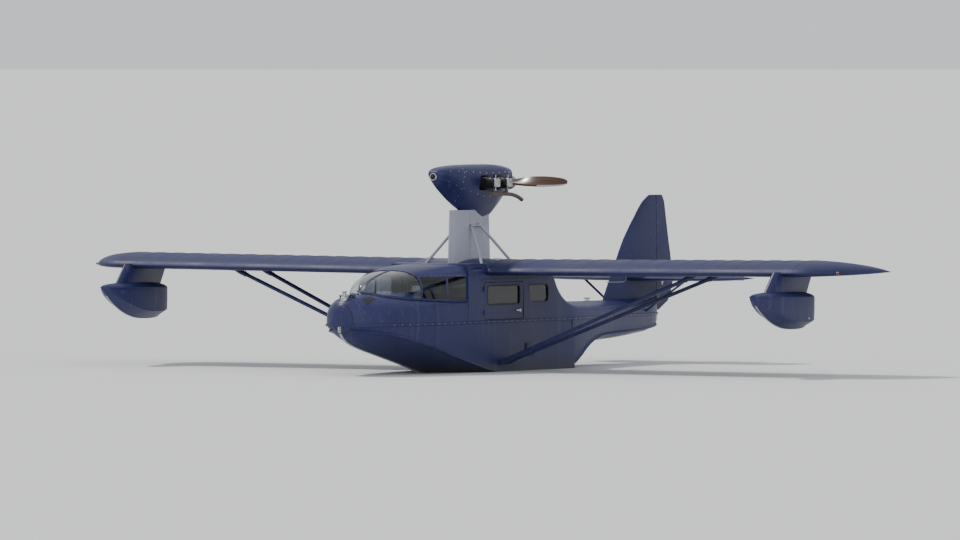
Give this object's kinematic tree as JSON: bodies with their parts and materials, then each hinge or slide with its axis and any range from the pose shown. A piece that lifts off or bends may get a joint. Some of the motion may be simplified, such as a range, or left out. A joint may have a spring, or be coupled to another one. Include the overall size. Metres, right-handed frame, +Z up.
{
  "type": "flying boat",
  "caption": "Small two-seat flying boat with a strut-braced high wing, tip floats and a pusher engine on a pylon, afloat.",
  "frame": {"origin": "on the waterline afloat, on the centreline, under the middle of the wing's chord", "axes": "-Y towards the nose, +X to port, +Z up from the water"},
  "size_m": [10.9896, 7.402, 2.7263],
  "materials": {
    "navy_paint": "dark navy, half gloss",
    "navy_fabric": "dark navy dope on fabric over ribs, half gloss",
    "pale_paint": "off-white, half gloss",
    "clear_glass": "clear bent sheet",
    "plywood": "varnished",
    "prop_wood": "varnished laminated blade",
    "seat_leather": "brown, soft",
    "dark_panel": "matt black",
    "engine_metal": "cast, oily",
    "exhaust_steel": "heat stained"
  },
  "bodies": {
    "airframe": {"hull": "navy_paint", "fore_deck": "navy_paint", "mooring_bitt": "engine_metal", "cabin_shell": "navy_paint", "windscreen": "clear_glass", "rear_deck": "navy_paint", "cabin_floor": "plywood", "seat_box": "plywood", "seat_left": "seat_leather", "seat_right": "seat_leather", "instrument_panel": "dark_panel", "control_column": "dark_panel", "rear_window_left": "clear_glass", "rear_window_right": "clear_glass", "wing_centre": "navy_fabric", "wing_left": "navy_fabric", "wing_right": "navy_fabric", "lift_strut_front_left": "navy_paint", "lift_strut_front_right": "navy_paint", "lift_strut_rear_left": "navy_paint", "lift_strut_rear_right": "navy_paint", "float_left": "navy_paint", "float_right": "navy_paint", "float_pylon_left": "navy_paint", "float_pylon_right": "navy_paint", "engine_pylon": "pale_paint", "pylon_strut_left": "pale_paint", "pylon_strut_right": "pale_paint", "engine_cowl": "navy_paint", "engine": "engine_metal", "exhaust_left": "exhaust_steel", "exhaust_right": "exhaust_steel", "fin": "navy_fabric", "tailplane": "navy_fabric", "tail_strut_left": "navy_paint", "tail_strut_right": "navy_paint"},
    "propeller": {"propeller": "prop_wood", "spinner": "pale_paint"},
    "rudder": {"rudder": "navy_fabric"},
    "elevator": {"elevator": "navy_fabric"},
    "aileron_left": {"aileron_left": "navy_fabric"},
    "aileron_right": {"aileron_right": "navy_fabric"},
    "door_left": {"door_left": "navy_paint", "door_glass_left": "clear_glass"},
    "door_right": {"door_right": "navy_paint", "door_glass_right": "clear_glass"},
    "bow_hatch": {"bow_hatch": "navy_paint"}
  },
  "joints": [
    {"name": "propeller_spin", "type": "hinge", "parent": "airframe", "child": "propeller", "pos_m": [0, 0.5204, 2.25], "axis": [0, 1, 0], "continuous": true},
    {"name": "rudder_swing", "type": "hinge", "parent": "airframe", "child": "rudder", "pos_m": [0, 3.975, 0.64], "axis": [0, 0, 1], "range_deg": [-25, 25]},
    {"name": "elevator_swing", "type": "hinge", "parent": "airframe", "child": "elevator", "pos_m": [0, 3.79, 1.045], "axis": [1, 0, 0], "range_deg": [-22, 26]},
    {"name": "aileron_left_swing", "type": "hinge", "parent": "airframe", "child": "aileron_left", "pos_m": [3.05, 0.4, 1.24998], "axis": [1, 0, 0.007], "range_deg": [-20, 20]},
    {"name": "aileron_right_swing", "type": "hinge", "parent": "airframe", "child": "aileron_right", "pos_m": [-3.05, 0.4, 1.24998], "axis": [1, 0, -0.007], "range_deg": [-20, 20]},
    {"name": "door_left_hinge", "type": "hinge", "parent": "airframe", "child": "door_left", "pos_m": [0.563, -0.766, 0.7], "axis": [0, 0, -1], "range_deg": [0, 80]},
    {"name": "door_right_hinge", "type": "hinge", "parent": "airframe", "child": "door_right", "pos_m": [-0.563, -0.766, 0.7], "axis": [0, 0, 1], "range_deg": [0, 80]},
    {"name": "bow_hatch_hinge", "type": "hinge", "parent": "airframe", "child": "bow_hatch", "pos_m": [0, -2.86, 0.956], "axis": [1, 0, 0], "range_deg": [0, 100]}
  ],
  "couplings": [
    {"joint": "aileron_right_swing", "follows": "aileron_left_swing", "ratio": -1}
  ]
}
